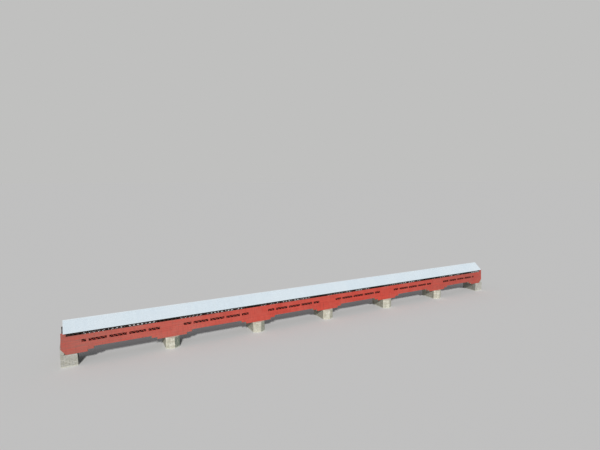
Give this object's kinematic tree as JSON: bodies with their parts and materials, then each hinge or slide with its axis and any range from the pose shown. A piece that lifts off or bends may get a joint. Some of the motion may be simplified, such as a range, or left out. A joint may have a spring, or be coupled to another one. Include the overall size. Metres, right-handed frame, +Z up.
{
  "type": "covered timber lattice bridge, scale model at 1:10",
  "caption": "Long covered lattice bridge with red boarded sides, pale metal roof and stone piers with blunt noses, a 1:10 model.",
  "frame": {"origin": "midway along the roof, on the middle line of the bridge, at the level of the feet of the piers", "axes": "+X along the bridge, to the right in the picture, +Y across it, away from the picture's side, +Z up"},
  "size_m": [15.35, 0.792, 1.1287],
  "materials": {
    "masonry": "rough coursed stone, weathered",
    "heavy_timber": "rough sawn, dark with age",
    "truss_timber": "sawn, brown with age",
    "lattice_planks": "sawn planks, red paint on their outer faces",
    "floor_boards": "worn planks",
    "roof_metal": "matt pale ribbed sheet",
    "ridge_metal": "matt pale folded sheet",
    "red_siding": "red paint, weathered"
  },
  "bodies": {
    "root": {"left_abutment": "masonry", "right_abutment": "masonry", "pier_1": "masonry", "pier_2": "masonry", "pier_3": "masonry", "pier_4": "masonry", "pier_5": "masonry", "lower_bolsters": "heavy_timber", "upper_bolsters": "heavy_timber", "bottom_chords": "truss_timber", "top_chords": "truss_timber", "truss_posts": "truss_timber", "near_lattice_left": "lattice_planks", "near_lattice_middle": "lattice_planks", "near_lattice_right": "lattice_planks", "far_lattice_left": "lattice_planks", "far_lattice_middle": "lattice_planks", "far_lattice_right": "lattice_planks", "floor_beams": "heavy_timber", "stringers": "heavy_timber", "floor_planks": "floor_boards", "lower_braces": "truss_timber", "upper_braces": "truss_timber", "tie_beams": "truss_timber", "knee_braces": "truss_timber", "wall_plates": "truss_timber", "rafters": "truss_timber", "ridge_board": "truss_timber", "near_roof": "roof_metal", "far_roof": "roof_metal", "ridge_cap": "ridge_metal", "wall_studs": "truss_timber", "near_wall_lower": "red_siding", "near_wall_window_panels": "red_siding", "near_wall_upper": "red_siding", "near_wall_aprons": "red_siding", "near_wall_apron_feet": "red_siding", "far_wall_lower": "red_siding", "far_wall_window_panels": "red_siding", "far_wall_upper": "red_siding", "far_wall_aprons": "red_siding", "far_wall_apron_feet": "red_siding", "eave_end_panels": "red_siding", "portal_jambs": "red_siding", "gables": "red_siding"}
  },
  "joints": []
}
